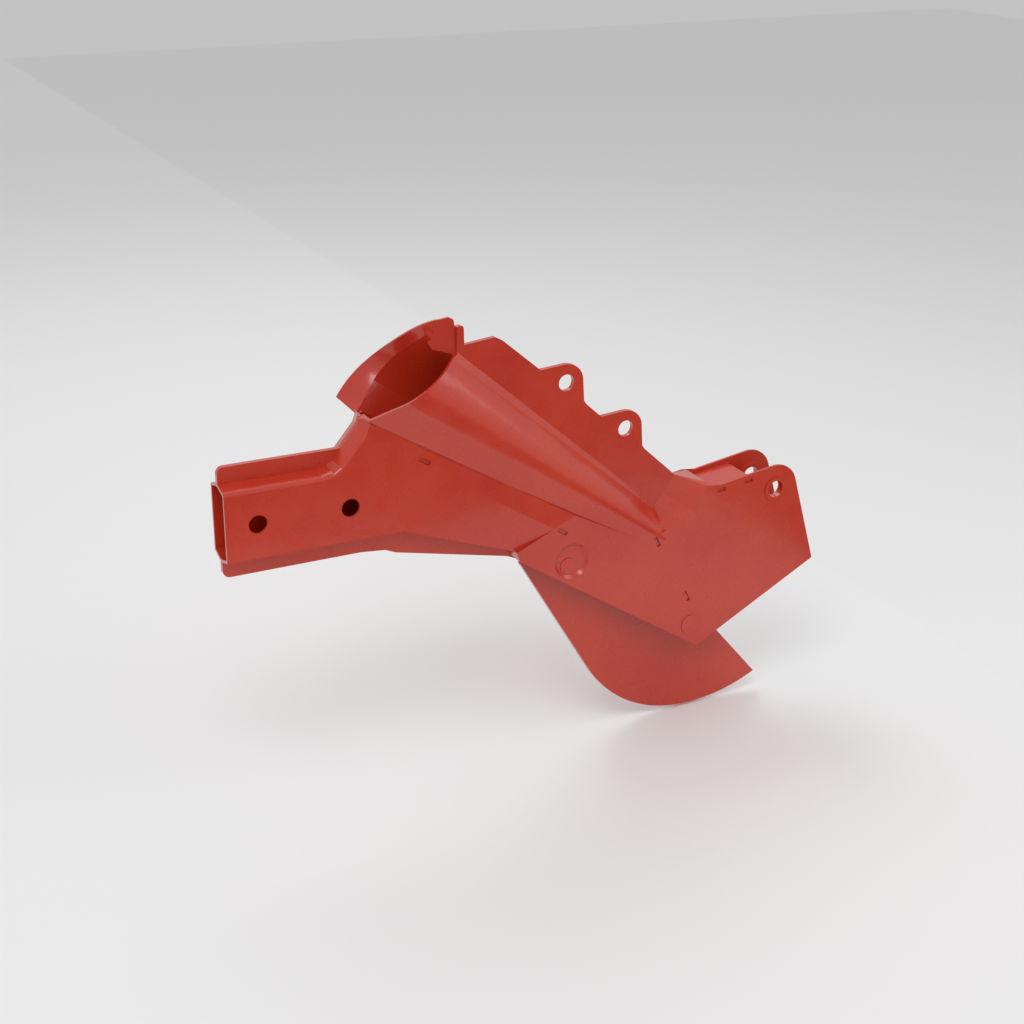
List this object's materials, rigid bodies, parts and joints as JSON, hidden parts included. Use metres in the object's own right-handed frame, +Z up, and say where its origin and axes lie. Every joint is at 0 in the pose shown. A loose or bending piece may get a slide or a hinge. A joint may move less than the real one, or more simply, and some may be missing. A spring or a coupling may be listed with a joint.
{
  "type": "cultivator body",
  "caption": "Pressed and welded steel seed boot body with a bolt-on socket, a slanting funnel with a flared lip, lugs, rear cheeks with an ear pivot and a curved keel.",
  "frame": {"origin": "centre of the front socket bolt hole, on the mid plane between the two shells", "axes": "+X rearwards along the socket, +Y to the right across the part, +Z up"},
  "size_m": [0.4716, 0.0598, 0.342],
  "materials": {
    "red_paint": "gloss"
  },
  "bodies": {
    "root": {"left_shell": "red_paint", "right_shell": "red_paint", "keel_plate": "red_paint", "funnel_floor": "red_paint", "outlet_guide": "red_paint", "bridge_plate": "red_paint", "front_keel_pin": "red_paint", "rear_keel_pin": "red_paint", "ear_bush_left": "red_paint", "ear_bush_right": "red_paint"}
  },
  "joints": []
}
